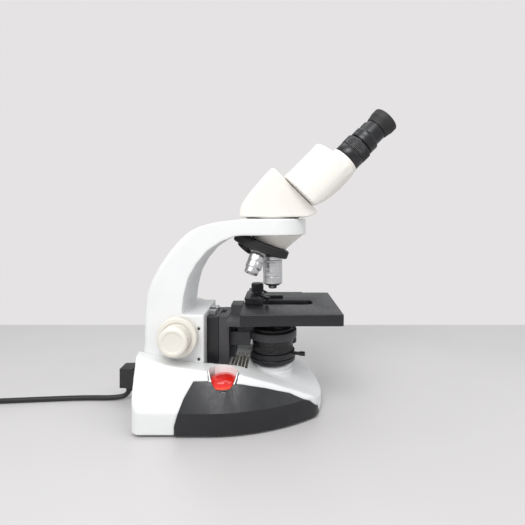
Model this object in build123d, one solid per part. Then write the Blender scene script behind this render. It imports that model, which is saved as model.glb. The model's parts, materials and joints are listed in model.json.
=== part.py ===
from build123d import *
from math import sin, cos, tan, pi, radians, sqrt
import os

# Binocular upright microscope with built-in lamp, as an assembly of separate pieces.
# Millimetres, +Z up, +X towards the user. Lengths are written from the optical axis,
# and FRAME_SHIFT carries the whole model so that the origin is at the middle of its base.

os.makedirs("parts", exist_ok=True)

# ---- driving dimensions -------------------------------------------------------------
FRAME_SHIFT = 4.0        # optical axis to frame origin, along X

FOOT_H = 3.0             # underside of the base above the table
RIDGE_Z = 28.0           # top of the upright skirt of the base
BASE_HALF = 94.0         # half width of the base at its widest
BASE_REAR = -169.0
NOSE_X = 66.0
SIDE_SLOPE = 30.0        # lean of the upper sides, degrees from upright
WALL = 4.5               # casting wall
PANEL_T = 2.2
PANEL_PROUD = 0.8
VENT_X = -56.0           # first of the five vent slots in the deck
VENT_PITCH = 4.8

ARM_HALF = 47.0          # half width of the arm
ARM_SEAT_Z = 52.0        # the arm stands in a well in the base at this height
ARM_FRONT = -86.0        # front face of the foot of the arm
ARM_UNDER_Z = 227.4
ARM_TOP_Z = 249.0
ARM_END_R = 45.5

FOCUS_X = -117.0         # axis of the coaxial focus knobs
FOCUS_Z = 103.0
COARSE_R = 25.0
FINE_R = 18.0
SHAFT_R = 8.0
FINE_SHAFT_R = 4.0
PINION_R = 10.0          # pitch radius of the coarse pinion
PINION_TEETH = 20
RUN = 0.05               # radial clearance of every running fit

STAGE_TOP_Z = 134.0
STAGE_T = 14.0
STAGE_HALF = 70.5
STAGE_X0 = -39.0
STAGE_X1 = 86.0
SLOT_HALF = 15.0
SLOT_CORNER = 12.0
SLOT_X0 = -16.0
SLOT_X1 = 55.0
DRIVE_X = 24.0           # axis of the hanging stage knobs
DRIVE_Y = 60.0
DRIVE_PINION_R = 6.0
CLIP_X = -22.0           # pivot of the slide clip
CLIP_Y = 20.0

COND_R = 28.0
COND_BOTTOM = 57.0
CARRIER_Z0 = 80.0
CARRIER_Z1 = 98.0
NECK_Z = 113.5           # underside of the stage bracket's two arms
COND_SHAFT_X = -44.0
COND_SHAFT_Z = 90.0
COND_PINION_R = 5.0

APEX_Z = 253.5           # where the turret axis meets the optical axis
TURRET_TILT = 20.5
SHOULDER = 55.8          # apex to the objective shoulder, along each port
TURRET_TOP = 38.4        # apex to the top of the turret, along its axis
PORT_R = 10.16           # standard objective thread radius
WORKING_LEN = 44.2

HEAD_Z = 251.0
HINGE_X = 18.1           # a point of the interpupillary hinge axis
HINGE_Z = 298.4
TUBE_DROP = 35.0         # tube axis below the hinge axis, square to it
TUBE_SIDE = 32.0         # tube axis from the middle plane: 64 mm between the eyes
HUB_R = 6.6

CORD_D = 6.5
COIL_R = 38.0

TILT = radians(TURRET_TILT)


# ---- helpers ------------------------------------------------------------------------
def cyl(r, z0, z1, x=0.0, y=0.0):
    return Pos(x, y, (z0 + z1) / 2) * Cylinder(r, z1 - z0)


def ring(ro, ri, z0, z1, x=0.0, y=0.0):
    return cyl(ro, z0, z1, x, y) - cyl(ri, z0 - 1, z1 + 1, x, y)


def box(x0, x1, y0, y1, z0, z1):
    return Pos((x0 + x1) / 2, (y0 + y1) / 2, (z0 + z1) / 2) * Box(x1 - x0, y1 - y0, z1 - z0)


def ycyl(r, y0, y1, x, z):
    return Pos(x, (y0 + y1) / 2, z) * Rot(90, 0, 0) * Cylinder(r, y1 - y0)


def xcyl(r, x0, x1, y, z):
    return Pos((x0 + x1) / 2, y, z) * Rot(0, 90, 0) * Cylinder(r, x1 - x0)


def turned(points):
    """A solid turned about Z from a closed outline of (radius, height)."""
    return revolve(make_face(Plane.XZ * Polyline(*points, close=True)), Axis.Z)


def side_slab(points, y0, y1):
    """An XZ outline thickened from y0 to y1."""
    face = make_face(Plane.XZ * Polyline(*points, close=True))
    return extrude(Pos(0, y1, 0) * face, amount=y1 - y0, dir=(0, -1, 0))


def plan_slab(points, z0, z1):
    face = make_face(Pos(0, 0, z0) * Polyline(*points, close=True))
    return extrude(face, amount=z1 - z0, dir=(0, 0, 1))


def mirrored(part):
    return mirror(part, Plane.XZ)


def softened(part, edges, radius):
    """The part with a fillet, at the largest of a few radii that the shape takes."""
    for r in (radius, radius * 0.6, radius * 0.3):
        try:
            done = fillet(edges, r)
            if done.is_valid:
                return done
        except Exception:
            continue
    return part


def frame_at(x, y, z, direction, x_dir=(0, 1, 0)):
    return Plane(origin=(x, y, z), x_dir=x_dir, z_dir=direction).location


def save(name, *solids):
    shape = solids[0]
    for more in solids[1:]:
        shape = shape + more
    export_step(Pos(FRAME_SHIFT, 0, 0) * shape, "parts/" + name + ".step")


def involute_gear(pitch_r, teeth, width, bore):
    """A spur gear about Z with straight flanks close to the involute."""
    m = 2 * pitch_r / teeth
    points = []
    for k in range(teeth):
        a = 2 * pi * k / teeth
        step = 2 * pi / teeth
        for da, r in ((-0.34, pitch_r - 1.2 * m), (-0.235, pitch_r), (-0.10, pitch_r + 0.9 * m),
                      (0.10, pitch_r + 0.9 * m), (0.235, pitch_r), (0.34, pitch_r - 1.2 * m)):
            points.append((r * cos(a + da * step), r * sin(a + da * step)))
    gear = plan_slab(points, -width / 2, width / 2)
    return gear - cyl(bore, -width, width) if bore else gear


def rack_bar(pitch_r, teeth, length, width, back):
    """A rack along Z, pitch line at X = 0, teeth towards -X, a gap between teeth at Z = 0."""
    m = 2 * pitch_r / teeth
    pitch = pi * m
    n = int(length / pitch / 2)
    points = [(back, -n * pitch)]
    for k in range(-n, n):
        z = (k + 0.5) * pitch
        points += [(1.2 * m, z - 0.374 * pitch), (-0.9 * m, z - 0.131 * pitch),
                   (-0.9 * m, z + 0.131 * pitch), (1.2 * m, z + 0.374 * pitch)]
    points.append((back, n * pitch))
    return side_slab(points, -width / 2, width / 2)


# ---- base ---------------------------------------------------------------------------
def base_plan(grow=0.0):
    """Outline of the base seen from above: square rear, sides drawn in to a blunt nose."""
    half = BASE_HALF
    rear_side = BASE_REAR + 8
    edge = Polyline((-75, half), (rear_side, half))
    edge += ThreePointArc((rear_side, half), (BASE_REAR, 0), (rear_side, -half))
    edge += Line((rear_side, -half), (-75, -half))
    edge += ThreePointArc((-75, -half), (-8, 11 - half), (54, -50))
    edge += ThreePointArc((54, -50), (NOSE_X, 0), (54, 50))
    edge += ThreePointArc((54, 50), (-8, half - 11), (-75, half))
    face = make_face(edge)
    face = fillet([v for v in face.vertices() if v.X > 40], 15)
    face = fillet([v for v in face.vertices() if v.X < -100], 13)
    return offset(face, grow) if grow else face


def lean_plan(grow=0.0):
    """The same sides run on past both ends, for the leaning upper part."""
    half = BASE_HALF + grow
    edge = Polyline((-75, half), (-300, half), (-300, -half), (-75, -half))
    edge += ThreePointArc((-75, -half), (-8, 11 - half), (54, -50 - grow * 1.15))
    edge += Polyline((54, -50 - grow * 1.15), (110, -50 - grow), (110, 50 + grow), (54, 50 + grow * 1.15))
    edge += ThreePointArc((54, 50 + grow * 1.15), (-8, half - 11), (-75, half))
    return make_face(edge)


DECK = [(-170, 84), (-155, 80), (-127, 73), (-90, 68), (-43, 64), (0, 50.5), (30, 38.5),
        (50, 29), (60, 22), (70, 13)]
VALLEY = [(-86.2, 54.5), (-50, 54.5), (-36, 53.6), (-30, 52.6), (0, 46), (35, 33), (56, 23),
          (74, 15)]


def base_form(grow=0.0):
    """The outer body of the base, grown or shrunk all round by an even amount."""
    skirt = extrude(Pos(0, 0, FOOT_H) * base_plan(grow), amount=RIDGE_Z - FOOT_H)
    upper = extrude(Pos(0, 0, RIDGE_Z) * lean_plan(grow), amount=62, taper=SIDE_SLOPE)
    upper = upper & extrude(Pos(0, 0, RIDGE_Z) * base_plan(grow), amount=80)
    line = [(-190, DECK[0][1])] + DECK + [(90, 5)]
    top = side_slab([(-190, 0)] + [(x, z + grow) for x, z in line] + [(90, 0)], -120, 120)
    return (skirt + upper) & top


PANEL_EDGE = [(-111, FOOT_H), (-111, 14), (-107, 28), (-102, 42), (-93, 57.5), (-75, 57.7),
              (-36, 53.3), (-8, 47.3), (21, 38.3), (46.5, 24.6), (58, 12.5), (60, FOOT_H)]
DIM_X = -58.8            # dimmer knob, on a level seat scooped into the left side
DIM_Y = -66.0
DIM_Z = 49.4
DIM_R = 16.5
DIM_H = 9.0


def panel_region(shrink=0.0):
    middle_x, middle_z = -30.0, 25.0
    points = []
    for x, z in PANEL_EDGE:
        points.append((x - shrink if x > middle_x else x + shrink, z - (shrink if z > 10 else 0)))
    return side_slab(points, -120, -38)


def make_base():
    outer = base_form()
    inner = base_form(-WALL) + extrude(Pos(0, 0, -5) * base_plan(-WALL), amount=20)
    well_floor = box(-173, ARM_FRONT + 6, -53, 53, ARM_SEAT_Z - 5, 120)
    valley_skin = side_slab([(-92, 49.5), (-50, 49.5), (-30, 47.6), (0, 41), (35, 28), (52, 20),
                             (80, 8), (80, 120), (-92, 120)], -50, 50)
    shell = outer - (inner - well_floor - valley_skin)
    shell -= box(-190, ARM_FRONT + 0.15, -ARM_HALF - 0.15, ARM_HALF + 0.15, ARM_SEAT_Z, 120)
    shell -= side_slab(VALLEY + [(74, 120), (-86.2, 120)], -44.5, 44.5)
    # lamp outlet, vent slots, rear inlet opening, bolt and cable holes
    shell -= cyl(25.3, 47.8, 80)
    shell += cyl(26.5, 34, 47.8) & (outer + cyl(27, 30, 47.8))
    shell -= cyl(22.2, 20, 80)
    for k in range(5):
        x = VENT_X + VENT_PITCH * k
        shell -= box(x, x + VENT_PITCH - 1.3, -30, 30, 40, 70)
    shell -= box(-175, -160, -14.2, 14.2, 21.8, 42.2)
    for x in (-150, -98):
        for y in (-34, 34):
            shell -= cyl(3.3, 40, 60, x, y)
    shell -= box(-156, -136, -30, 30, 40, 60)
    # dished recess and shaft hole of the dimmer, and the pockets of the side panels
    pocket = base_form() - base_form(-(PANEL_T - PANEL_PROUD))
    near = panel_region() & pocket
    shell -= near
    shell -= mirrored(near)
    shell -= cyl(DIM_R + 2.2, DIM_Z - 2.0, 120, DIM_X, DIM_Y)
    return shell


def make_panel():
    shell = base_form(PANEL_PROUD) - base_form(-(PANEL_T - PANEL_PROUD))
    return panel_region(0.3) & shell


def make_left_panel():
    cup = cyl(DIM_R + 2.0, DIM_Z - 1.8, 120, DIM_X, DIM_Y)
    panel = make_panel() - cyl(DIM_R + 0.8, DIM_Z - 10, 120, DIM_X, DIM_Y)
    cup = (cup - cyl(DIM_R + 0.8, DIM_Z - 0.4, 130, DIM_X, DIM_Y)) & base_form(PANEL_PROUD - 0.05)
    return panel + cup - cyl(3.6, 30, 80, DIM_X, DIM_Y)


def make_dimmer_knob():
    dome = turned([(0, 0), (DIM_R, 0), (DIM_R, 2.2), (15.6, 4.6), (12.5, 7.1), (7.0, 8.6),
                   (0, DIM_H)])
    dome -= cyl(14.2, -1, 3.5)
    dome += cyl(3.0, -18.0, 5.0)
    return Pos(DIM_X, DIM_Y, DIM_Z) * dome


def make_power_board():
    board = box(-128, -62, -64, -18, 12, 13.6)
    board += box(-122, -92, -58, -26, 13.6, 38)
    board += cyl(8, 13.6, 34, -78, -30)
    pot = cyl(8.5, 27, 40, DIM_X, DIM_Y) - cyl(3.0 + RUN, 30, 50, DIM_X, DIM_Y)
    return board, pot


def make_base_plate():
    plate = extrude(Pos(0, 0, FOOT_H) * base_plan(-WALL - 0.3), amount=1.6)
    for x, y in FEET:
        plate -= cyl(2.6, 0, 10, x, y)
    return plate


FEET = [(-146, -72), (-146, 72), (36, -38), (36, 38)]


def make_feet():
    return [turned([(2.4, 0.0), (10.5, 0.0), (11.5, 3.0), (2.4, 3.0)]).moved(Location((x, y, 0)))
            for x, y in FEET]


def make_screws():
    found = []
    for x, y in FEET:
        found.append(cyl(2.2, 1.0, 12.0, x, y))
    for x in (-150, -98):
        for y in (-34, 34):
            found.append(cyl(3.0, 44.0, 66.0, x, y) + cyl(5.0, 40.0, ARM_SEAT_Z - 5.1, x, y))
    for z in (72.0, 110.5):
        found.append(ycyl(1.7, -ARM_HALF + 0.2, -ARM_HALF + 5, -92.5, z))
    return found


def make_bosses():
    found = None
    for x, y in FEET:
        post = ring(6.0, 2.25, FOOT_H + 1.6, 26 if x < 0 else 22, x, y)
        found = post if found is None else found + post
    return found


# ---- arm ----------------------------------------------------------------------------
ARM_SIDE = [(-167, ARM_SEAT_Z), (-164.5, 72), (-162.5, 90), (-162, 132), (-160, 152), (-154, 169),
            (-144, 188), (-131, 207), (-117, 223), (-104, 233), (-92, 239), (-71, 244.5),
            (-42, 247.8), (-10, ARM_TOP_Z), (60, ARM_TOP_Z), (60, ARM_UNDER_Z), (-38, ARM_UNDER_Z),
            (-48, 226.5), (-64, 220), (-82, 208), (-96, 191), (-106, 173), (-111.5, 151),
            (-113.5, 134), (-113.5, 128), (ARM_FRONT, 128), (ARM_FRONT, ARM_SEAT_Z)]


ARM_CORE = [(-155, 130), (-153, 150), (-147, 166), (-138, 184), (-125.5, 202), (-112, 217.5),
            (-100, 227), (-89, 232.5), (-70, 238), (-60, 239.5), (-60, 226), (-68, 225),
            (-87, 213), (-102.5, 195), (-113, 176), (-118.5, 152), (-120.5, 134), (-120.5, 130)]


def make_arm():
    arm = side_slab(ARM_SIDE, -ARM_HALF, ARM_HALF)
    front = cyl(ARM_END_R, 200, 260) + box(-100, 0, -ARM_END_R, ARM_END_R, 200, 260)
    arm = arm & (front + box(-200, -80, -60, 60, 0, 300) + plan_slab(
        [(-80, -47), (-20, -ARM_END_R), (-20, ARM_END_R), (-80, 47)], 200, 260))
    upright = arm.edges().filter_by(lambda e: e.length > 10 and abs(e.center().Y) > 46.9
                                    and e.center().X < -120)
    arm = softened(arm, upright, 7.0)
    # relief over the turret, focus gearbox, shaft bores, rack slot
    arm -= turret_frame() * cyl(39.8, TURRET_TOP - 0.4, 90)
    arm -= box(-130, -92, -20, 20, 66, 122)
    arm -= box(-109.5, -92, -6, 6, 72, 126)
    arm -= box(-95, ARM_FRONT + 1, -6, 6, 72, 126)
    arm -= ycyl(SHAFT_R + RUN, -60, 60, FOCUS_X, FOCUS_Z)
    # casting core open to the base, bolt holes
    arm -= box(-156, -136, -30, 30, 40, 74) + box(-155, -136, -39, 39, 70, 140)
    arm -= side_slab(ARM_CORE, -39, 39)
    for x in (-150, -98):
        for y in (-34, 34):
            arm -= cyl(3.06, 40, 66.5, x, y)
    for z in (72.0, 110.5):
        arm -= ycyl(1.76, -60, -ARM_HALF + 5.2, -92.5, z)
    # head seat and light path
    arm -= cyl(21.0 + RUN, 237.9, 260)
    arm -= cyl(12.0, 220, 240)
    arm -= ycyl(2.5 + RUN, 19, 60, 0, 243.0)
    return arm


def make_focus_guide():
    way = plan_slab([(ARM_FRONT, -14), (ARM_FRONT + 10, -19), (ARM_FRONT + 10, 19),
                     (ARM_FRONT, 14)], 60, 126)
    return way - box(-90, -70, -5.6, 5.6, 71, 130)


def make_head_clamp():
    knob = ycyl(2.5, 21.4, 50, 0, 243.0) + ycyl(7.0, 49.5, 60, 0, 243.0)
    return knob


def make_nosepiece_mount():
    wide = Pos(6.75, 0, ARM_UNDER_Z) * Circle(35.2)
    place = turret_frame()
    narrow = place * Pos(8.0, 0, TURRET_TOP - 0.4) * Circle(24.7)
    cone = loft([make_face(wide.edges()), make_face(narrow.edges())])
    cone -= cyl(11.0, 190, 240)
    stud = place * cyl(4.0, TURRET_TOP - 10, TURRET_TOP + 15)
    stud = stud & box(-60, 20, -20, 20, 150, ARM_UNDER_Z - 0.1)
    return cone + (stud - cyl(9.2, 190, 300))


# ---- focus drive --------------------------------------------------------------------
def make_carriage():
    block = box(ARM_FRONT + 0.4, -70.5, -28, 28, 58, 121)
    g = RUN + 0.02
    groove = plan_slab([(ARM_FRONT - 2, -13.0 - g), (ARM_FRONT + 10.1, -19 - g),
                        (ARM_FRONT + 10.1, 19 + g), (ARM_FRONT - 2, 13.0 + g)], 50, 130)
    tenon = plan_slab([(-71.5, -8), (-64, -11), (-64, 11), (-71.5, 8)], 60, 119)
    return block - groove + tenon


RACK_Z = 94.5


def make_focus_rack():
    bar = Pos(FOCUS_X + PINION_R, 0, FOCUS_Z) * rack_bar(PINION_R, PINION_TEETH, 54, 10, 6.5)
    bar = bar & box(-120, -95, -10, 10, 81.5, 108.5)
    web = box(FOCUS_X + PINION_R + 6.5 - 0.5, ARM_FRONT + 10.1, -5, 5, 81.5, 108.5)
    return bar + web


def make_coarse_shaft():
    tube = ycyl(SHAFT_R, -60, 60, FOCUS_X, FOCUS_Z)
    gear = involute_gear(PINION_R, PINION_TEETH, 12, 0)
    # a tooth of the gear faces a gap of the rack
    gear = Pos(FOCUS_X, 0, FOCUS_Z) * Rot(90, 0, 0) * gear
    return tube + gear - ycyl(FINE_SHAFT_R + RUN, -70, 70, FOCUS_X, FOCUS_Z)


def knob_about_y(outline, y_face):
    """A knob turned about the focus axis; heights run outwards from y_face, towards -Y."""
    return Pos(FOCUS_X, y_face, FOCUS_Z) * Rot(90, 0, 0) * turned(outline)


def make_coarse_knob():
    body = [(SHAFT_R, 0), (24.0, 0), (COARSE_R, 1.0), (COARSE_R, 12.6), (24.0, 13.6),
            (SHAFT_R, 13.6)]
    return knob_about_y(body, -ARM_HALF - 1.0)


def make_fine_knob():
    body = [(0, 0), (17.0, 0), (FINE_R, 1.0), (FINE_R, 15.0), (16.6, 17.0), (14.0, 18.0),
            (0, 18.0)]
    return knob_about_y(body, -62.0)


# ---- stage --------------------------------------------------------------------------
def make_bracket():
    block = box(-70.1, -57, -28, 28, 60, 121)
    g = RUN
    block -= plan_slab([(-72, -7.8 - g), (-63.9, -11.04 - g), (-63.9, 11.04 + g), (-72, 7.8 + g)],
                       50, 130)
    neck = box(-58, -34, -48, 48, NECK_Z, STAGE_TOP_Z - STAGE_T)
    arms = box(-36, -2, 33, 48, NECK_Z, STAGE_TOP_Z - STAGE_T)
    block += neck + arms + mirrored(arms)
    block -= cyl(30.5, 100, 130)
    block += box(-57, -41, -4, 24, 119, 131)
    rail = plan_slab([(-58, -8), (-50.5, -11), (-50.5, 11), (-58, 8)], 62, 111)
    rail -= box(-52.6, -50, -3.2, 3.2, 62, 109)
    teeth = Pos(COND_SHAFT_X - COND_PINION_R, 0, COND_SHAFT_Z) * Rot(0, 0, 180) * rack_bar(
        COND_PINION_R, 20, 44, 6.0, 3.8)
    teeth = teeth & box(-60, -40, -5, 5, 64, 108)
    return block + rail + teeth


def make_stage_plate():
    plate = box(STAGE_X0, STAGE_X1, -STAGE_HALF, STAGE_HALF, STAGE_TOP_Z - STAGE_T, STAGE_TOP_Z)
    plate = fillet(plate.edges().filter_by(Axis.Z), 2.5)
    slot = box(SLOT_X0, SLOT_X1, -SLOT_HALF, SLOT_HALF, 100, 140)
    slot = fillet(slot.edges().filter_by(Axis.Z), SLOT_CORNER)
    plate -= slot
    plate -= cyl(5.0 + RUN, 110, 130.5, DRIVE_X, DRIVE_Y)
    guide = side_slab([(-36, 124), (56, 124), (56, 130), (-36, 130)], 70, 72.4)
    return plate + guide


def make_cross_carriage():
    bar = box(-37, -26.2, -16, 72.5, STAGE_TOP_Z + 0.4, 140)
    leg = side_slab([(-37, 140), (-37, 112), (46, 112), (46, 133.7), (-8, 133.7), (-20, 140)],
                    70.8, 76.4)
    leg -= side_slab([(-60, 123.9), (80, 123.9), (80, 130.1), (-60, 130.1)], 70, 72.5)
    place = frame_at(DRIVE_X, DRIVE_Y + DRIVE_PINION_R, 115, (1, 0, 0))
    rack = place * rack_bar(DRIVE_PINION_R, 20, 66, 6.0, 3.0)
    rack = rack & box(-12, 46, 60, 70, 100, 130)
    foot = box(-12, 46, DRIVE_Y + DRIVE_PINION_R + 2.9, 71.5, 112, 118)
    return bar + leg + rack + foot


def make_slide_holder():
    top = box(-37.5, -13, -18, 34, 140.4, 143)
    lip = box(-25.8, -13, -18, 34, STAGE_TOP_Z + 0.4, 143)
    jaw = box(-14, 15, 27, 34, STAGE_TOP_Z + 0.4, 138)
    return top + lip + jaw - cyl(2.0 + RUN, 130, 150, CLIP_X, CLIP_Y)


def make_slide_clip():
    finger = plan_slab([(CLIP_X - 5, CLIP_Y - 5), (CLIP_X + 5, CLIP_Y - 5), (-8, -10), (-2, -17),
                        (-6, -21), (-12, -14)], 143.3, 144.6)
    knob = turned([(0, 0), (8.7, 0), (8.7, 11), (7.8, 12.8), (0, 12.8)])
    stem = cyl(2.0, 136, 145, CLIP_X, CLIP_Y)
    tip = cyl(2.2, 135.4, 144, -7.6, -15)
    hub = cyl(6, 143.3, 145.5, CLIP_X, CLIP_Y)
    return finger + hub + Pos(CLIP_X, CLIP_Y, 144.6) * knob + stem + tip


def make_fb_knob():
    tube = turned([(3.0 + RUN, 0), (14, 0), (14, 18), (13, 19), (5, 19), (5, 44), (3.0 + RUN, 44)])
    tube = Pos(DRIVE_X, DRIVE_Y, 85) * tube
    gear = Pos(DRIVE_X, DRIVE_Y, 115) * Rot(0, 0, 90) * involute_gear(DRIVE_PINION_R, 20, 6, 4.9)
    return tube + gear


def make_lr_knob():
    knob = turned([(0, 0), (11, 0), (12, 1), (12, 21), (11, 22), (3, 22), (3, 70), (0, 70)])
    return Pos(DRIVE_X, DRIVE_Y, 60) * knob


# ---- condenser ----------------------------------------------------------------------
def make_condenser_carrier():
    block = box(-50.2, -30, -16, 16, CARRIER_Z0, CARRIER_Z1)
    g = RUN + 0.02
    cheeks = plan_slab([(-56.5, 8.6 + g), (-50.1, 11.16 + g), (-50.1, 16), (-56.5, 16)],
                       CARRIER_Z0, CARRIER_Z1)
    block += cheeks + mirrored(cheeks)
    block += cyl(33, 88, 98)
    block -= cyl(COND_R + 0.1, 70, 110)
    block -= ycyl(7.0, -4, 4, COND_SHAFT_X, COND_SHAFT_Z)
    block -= box(-52, -48.0, -4, 4, 70, 110)
    block -= ycyl(3.0 + RUN, -10, 20, COND_SHAFT_X, COND_SHAFT_Z)
    return block


def make_condenser_knob():
    gear = Rot(90, 0, 0) * involute_gear(COND_PINION_R, 20, 5.6, 0)
    part = Pos(COND_SHAFT_X, 0, COND_SHAFT_Z) * gear
    part += ycyl(3.0, -9.5, 34, COND_SHAFT_X, COND_SHAFT_Z)
    return part + ycyl(10.0, 33, 45, COND_SHAFT_X, COND_SHAFT_Z)


def make_condenser_body():
    body = turned([(17, COND_BOTTOM), (31, COND_BOTTOM), (31, 62.5), (27, 63), (27, 70),
                   (COND_R, 70.3), (COND_R, 101.5), (26, 103), (24, 103.3), (16, 110),
                   (13.5, 112), (13.5, 122.5), (9.5, 122.5), (9.5, 108), (17, 96)])
    return body


def make_condenser_lens():
    upper = turned([(0, 112), (9.45, 112), (9.45, 121), (7, 122.3), (0, 122.6)])
    lower = turned([(0, 72), (16.9, 74), (16.9, 80), (10, 85), (0, 87)])
    return upper, lower


def make_iris_ring():
    body = ring(30.2, 27.0 + RUN, 63.3, 69.9)
    lever = box(29, 42, -2, 2, 64.6, 68.0) + xcyl(3.0, 38, 45, 0, 66.3)
    return Rot(0, 0, -14) * (body + lever)


# ---- light source -------------------------------------------------------------------
def make_field_collar():
    return turned([(18.1, 38), (22.0, 38), (22.0, 47.9), (25.0, 47.9), (25.0, 52.0), (23.6, 53.2),
                   (18.1, 53.2)])


def make_field_lens():
    return turned([(0, 43), (18.0, 43), (18.0, 47.5), (12, 50.6), (0, 52.0)])


def make_mirror():
    glass = Pos(0, 0, 21.5) * Rot(0, 45, 0) * Box(2.5, 32, 36)
    back = Pos(1.6, 0, 19.9) * Rot(0, 45, 0) * Box(2.0, 34, 37)
    return glass + back


def make_lamp_socket():
    block = box(-62, -48, -14, 14, 10, 32)
    block += box(-62, -30, -12, 12, 6, 10)
    return block - xcyl(5.0, -56, -40, 0, 22)


def make_lamp_bulb():
    glass = xcyl(4.9, -55.5, -40, 0, 22)
    return glass + Pos(-40, 0, 22) * Sphere(4.9)


def make_inlet():
    body = box(-166.5, -146, -14, 14, 22, 42)
    flange = box(-171.2, -169.3, -21, 21, 18.5, 45.5)
    link = box(-169.6, -165, -13.8, 13.8, 22.3, 41.7)
    socket = box(-175, -150, -11.8, 11.8, 24.2, 39.8)
    pins = None
    for y in (-7, 0, 7):
        pin = box(-160, -150, y - 2, y + 2, 31, 33)
        pins = pin if pins is None else pins + pin
    return flange + body + link - socket + box(-151, -146, -12, 12, 24, 40) + pins


# ---- turret and objectives ----------------------------------------------------------
def turret_frame():
    """Frame at the apex with its Z down the turret axis and its X towards the front."""
    return frame_at(0, 0, APEX_Z, (-sin(TILT), 0, -cos(TILT)), (cos(TILT), 0, -sin(TILT)))


def port_frame(turn):
    """Frame of one port: origin on the shoulder, Z down the objective."""
    a = radians(turn)
    local = Plane(origin=(0, 0, 0), x_dir=(cos(a) * cos(TILT), sin(a) * cos(TILT), -sin(TILT)),
                  z_dir=(sin(TILT) * cos(a), sin(TILT) * sin(a), cos(TILT))).location
    return turret_frame() * local * Pos(0, 0, SHOULDER)


def make_turret():
    shell = turned([(4.0 + RUN, TURRET_TOP), (36.0, TURRET_TOP), (36.0, 45.6), (8.0, 56.0),
                    (4.0 + RUN, 56.0)])
    shell = turret_frame() * shell
    for turn in (0, 90, 180, 270):
        shell += port_frame(turn) * cyl(13.6, -10, 0)
    shell &= turret_frame() * cyl(50, TURRET_TOP, 90)
    shell -= turret_frame() * cyl(4.0 + RUN, 20, 90)
    for turn in (0, 90, 180, 270):
        shell -= port_frame(turn) * cyl(PORT_R + 0.08, -5.2, 30)
        shell -= port_frame(turn) * cyl(8.5, -30, 1)
    shell -= turret_frame() * cyl(5.4, 53.6, 70)
    return shell


def make_grip_ring():
    grip = turned([(36.05, TURRET_TOP + 0.6), (38.0, TURRET_TOP + 0.6), (39.0, TURRET_TOP + 1.6),
                   (39.0, 48.4), (37.8, 49.6), (36.05, 49.6)])
    return turret_frame() * grip


def objective(r, length, nose_r, tip_r, bore):
    outline = [(bore, -4.6), (PORT_R, -4.6), (PORT_R, 0), (r - 0.8, 0), (r - 0.8, 4.7), (r, 5.0),
               (r, length - 7.5), (nose_r, length - 4.6), (tip_r + 1.5, length - 4.6),
               (tip_r, length - 3.8), (tip_r, length), (bore, length)]
    return turned(outline)


def objective_lens(bore, length):
    return cyl(bore - 0.02, length - 2.4, length - 0.3)


OBJECTIVES = {"objective_40": (0, 13.25, WORKING_LEN, 9.5, 5.5, 2.6),
              "objective_4": (90, 10.3, 30.5, 8.7, 8.0, 5.5),
              "objective_10": (270, 12.0, 37.0, 9.0, 6.5, 4.0)}


def make_dust_plug():
    plug = turned([(0, -4.6), (PORT_R, -4.6), (PORT_R, 0), (11.2, 0), (11.2, 4.5), (10.2, 5.6),
                   (0, 5.6)])
    return port_frame(180) * plug


# ---- head ---------------------------------------------------------------------------
U = (1 / sqrt(2), 0, 1 / sqrt(2))


def tube_frame(lateral=0.0, drop=0.0):
    """Frame on the slanted face of the head: Z along the tubes, Y to the side, X downwards."""
    x = HINGE_X + drop / sqrt(2)
    z = HINGE_Z - drop / sqrt(2)
    return frame_at(x, lateral, z, U, (1 / sqrt(2), 0, -1 / sqrt(2)))


def make_head_body():
    body = side_slab([(-43.6, HEAD_Z), (-43.2, 260), (-40.5, 267.5), (-36, 275), (-29, 284.5),
                      (-20, 295), (-10, 306.5), (-2, 315), (1.2, 315.6), (57.6, 259.2),
                      (57.6, 256.7), (46, HEAD_Z)], -37, 37)
    rims = body.edges().filter_by(lambda e: abs(abs(e.center().Y) - 37) < 0.1
                                  and e.center().Z > HEAD_Z + 1 and e.center().X < 25)
    body = softened(body, rims, 9.0)
    body += cyl(35.5, ARM_TOP_Z + 0.3, HEAD_Z + 0.5)
    body += cyl(21.0, 238.3, HEAD_Z)
    body -= cyl(12.0, 230, 284)
    body -= side_slab([(-37, 257), (-34.5, 268), (-23.5, 283), (-4.5, 305.5), (40, 261), (40, 257)],
                      -31, 31)
    pin = tube_frame() * cyl(4.0, -6, 66)
    cap = tube_frame() * cyl(6.0, 63.6, 70.5)
    return body + pin + cap


WING_ACROSS = [(-6.2, -1.5), (-6.2, -30), (-3.5, -40), (3, -48), (14, -54), (30, -56.5),
               (42, -55.5), (51, -50), (56, -41), (58, -30), (57.5, -16), (52, -8.0), (6, -1.5)]
WING_SIDE = [(-6.2, 1.0), (46, 1.0), (50, 6), (53, 14), (55.5, 26), (57, 42), (56, 56),
             (54.6, 66.5), (35, 66.5), (10, 63.8), (-6.2, 62)]


def wing_blank():
    """The left wing before its bores, in the hinge frame: X down, Y to the side, Z forwards."""
    body = plan_slab(WING_ACROSS, 0, 90) & side_slab(WING_SIDE, -80, 10)
    rims = [e for e in body.edges() if e.center().Y < -28 and e.length < 30]
    body = softened(body, rims, 2.5)
    return body + cyl_side(19.4, 60.0, 73.4)


def cyl_side(r, z0, z1):
    return Pos(TUBE_DROP, -TUBE_SIDE, 0) * cyl(r, z0, z1)


def make_left_wing():
    body = wing_blank() + cyl(HUB_R, 1.0, 62.0)
    body -= cyl(HUB_R + 0.35, 21.6, 42.4)
    body -= cyl_side(12.0, 30.0, 80.0)
    body -= cyl(4.0 + RUN, -1, 80)
    return tube_frame() * body


def make_right_wing():
    body = mirrored(wing_blank() - cyl_side(12.0, 30.0, 80.0))
    body -= cyl(HUB_R + 0.35, 0, 80)
    body += cyl(HUB_R, 22.0, 42.0)
    body += Pos(TUBE_DROP / 4, TUBE_SIDE / 4, 32) * Box(12, 8, 19.6)
    body -= cyl(4.0 + RUN, -1, 80)
    return tube_frame() * body


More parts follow.
